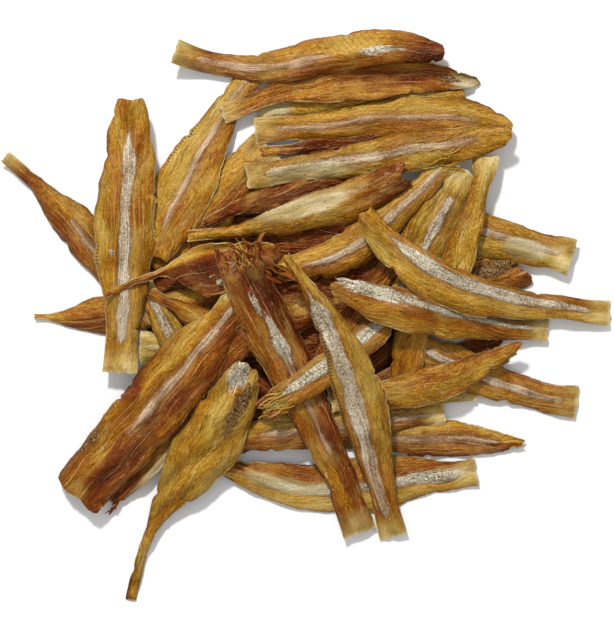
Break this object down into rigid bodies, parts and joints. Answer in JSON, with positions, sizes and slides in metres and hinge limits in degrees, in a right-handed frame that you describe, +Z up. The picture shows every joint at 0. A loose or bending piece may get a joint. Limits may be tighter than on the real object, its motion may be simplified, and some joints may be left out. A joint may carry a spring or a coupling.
{
  "type": "dried anchovies",
  "caption": "Loose heap of headless, split dried anchovies: thin amber leaves with silver stripes and cut tail stubs, lying crosswise on each other",
  "frame": {"origin": "middle of the heap's outline, on the surface it lies on", "axes": "+Z up, +X towards the right of the heap as seen from above, +Y away from the viewer"},
  "size_m": [0.2038, 0.1914, 0.0239],
  "materials": {
    "dried_flesh": "dried fish flesh, amber brown, translucent, half glossy",
    "silver_skin": "silver grey stripe of fine scales on dried skin, satin"
  },
  "bodies": {
    "root": {"anchovy_heap": "dried_flesh"}
  },
  "joints": []
}
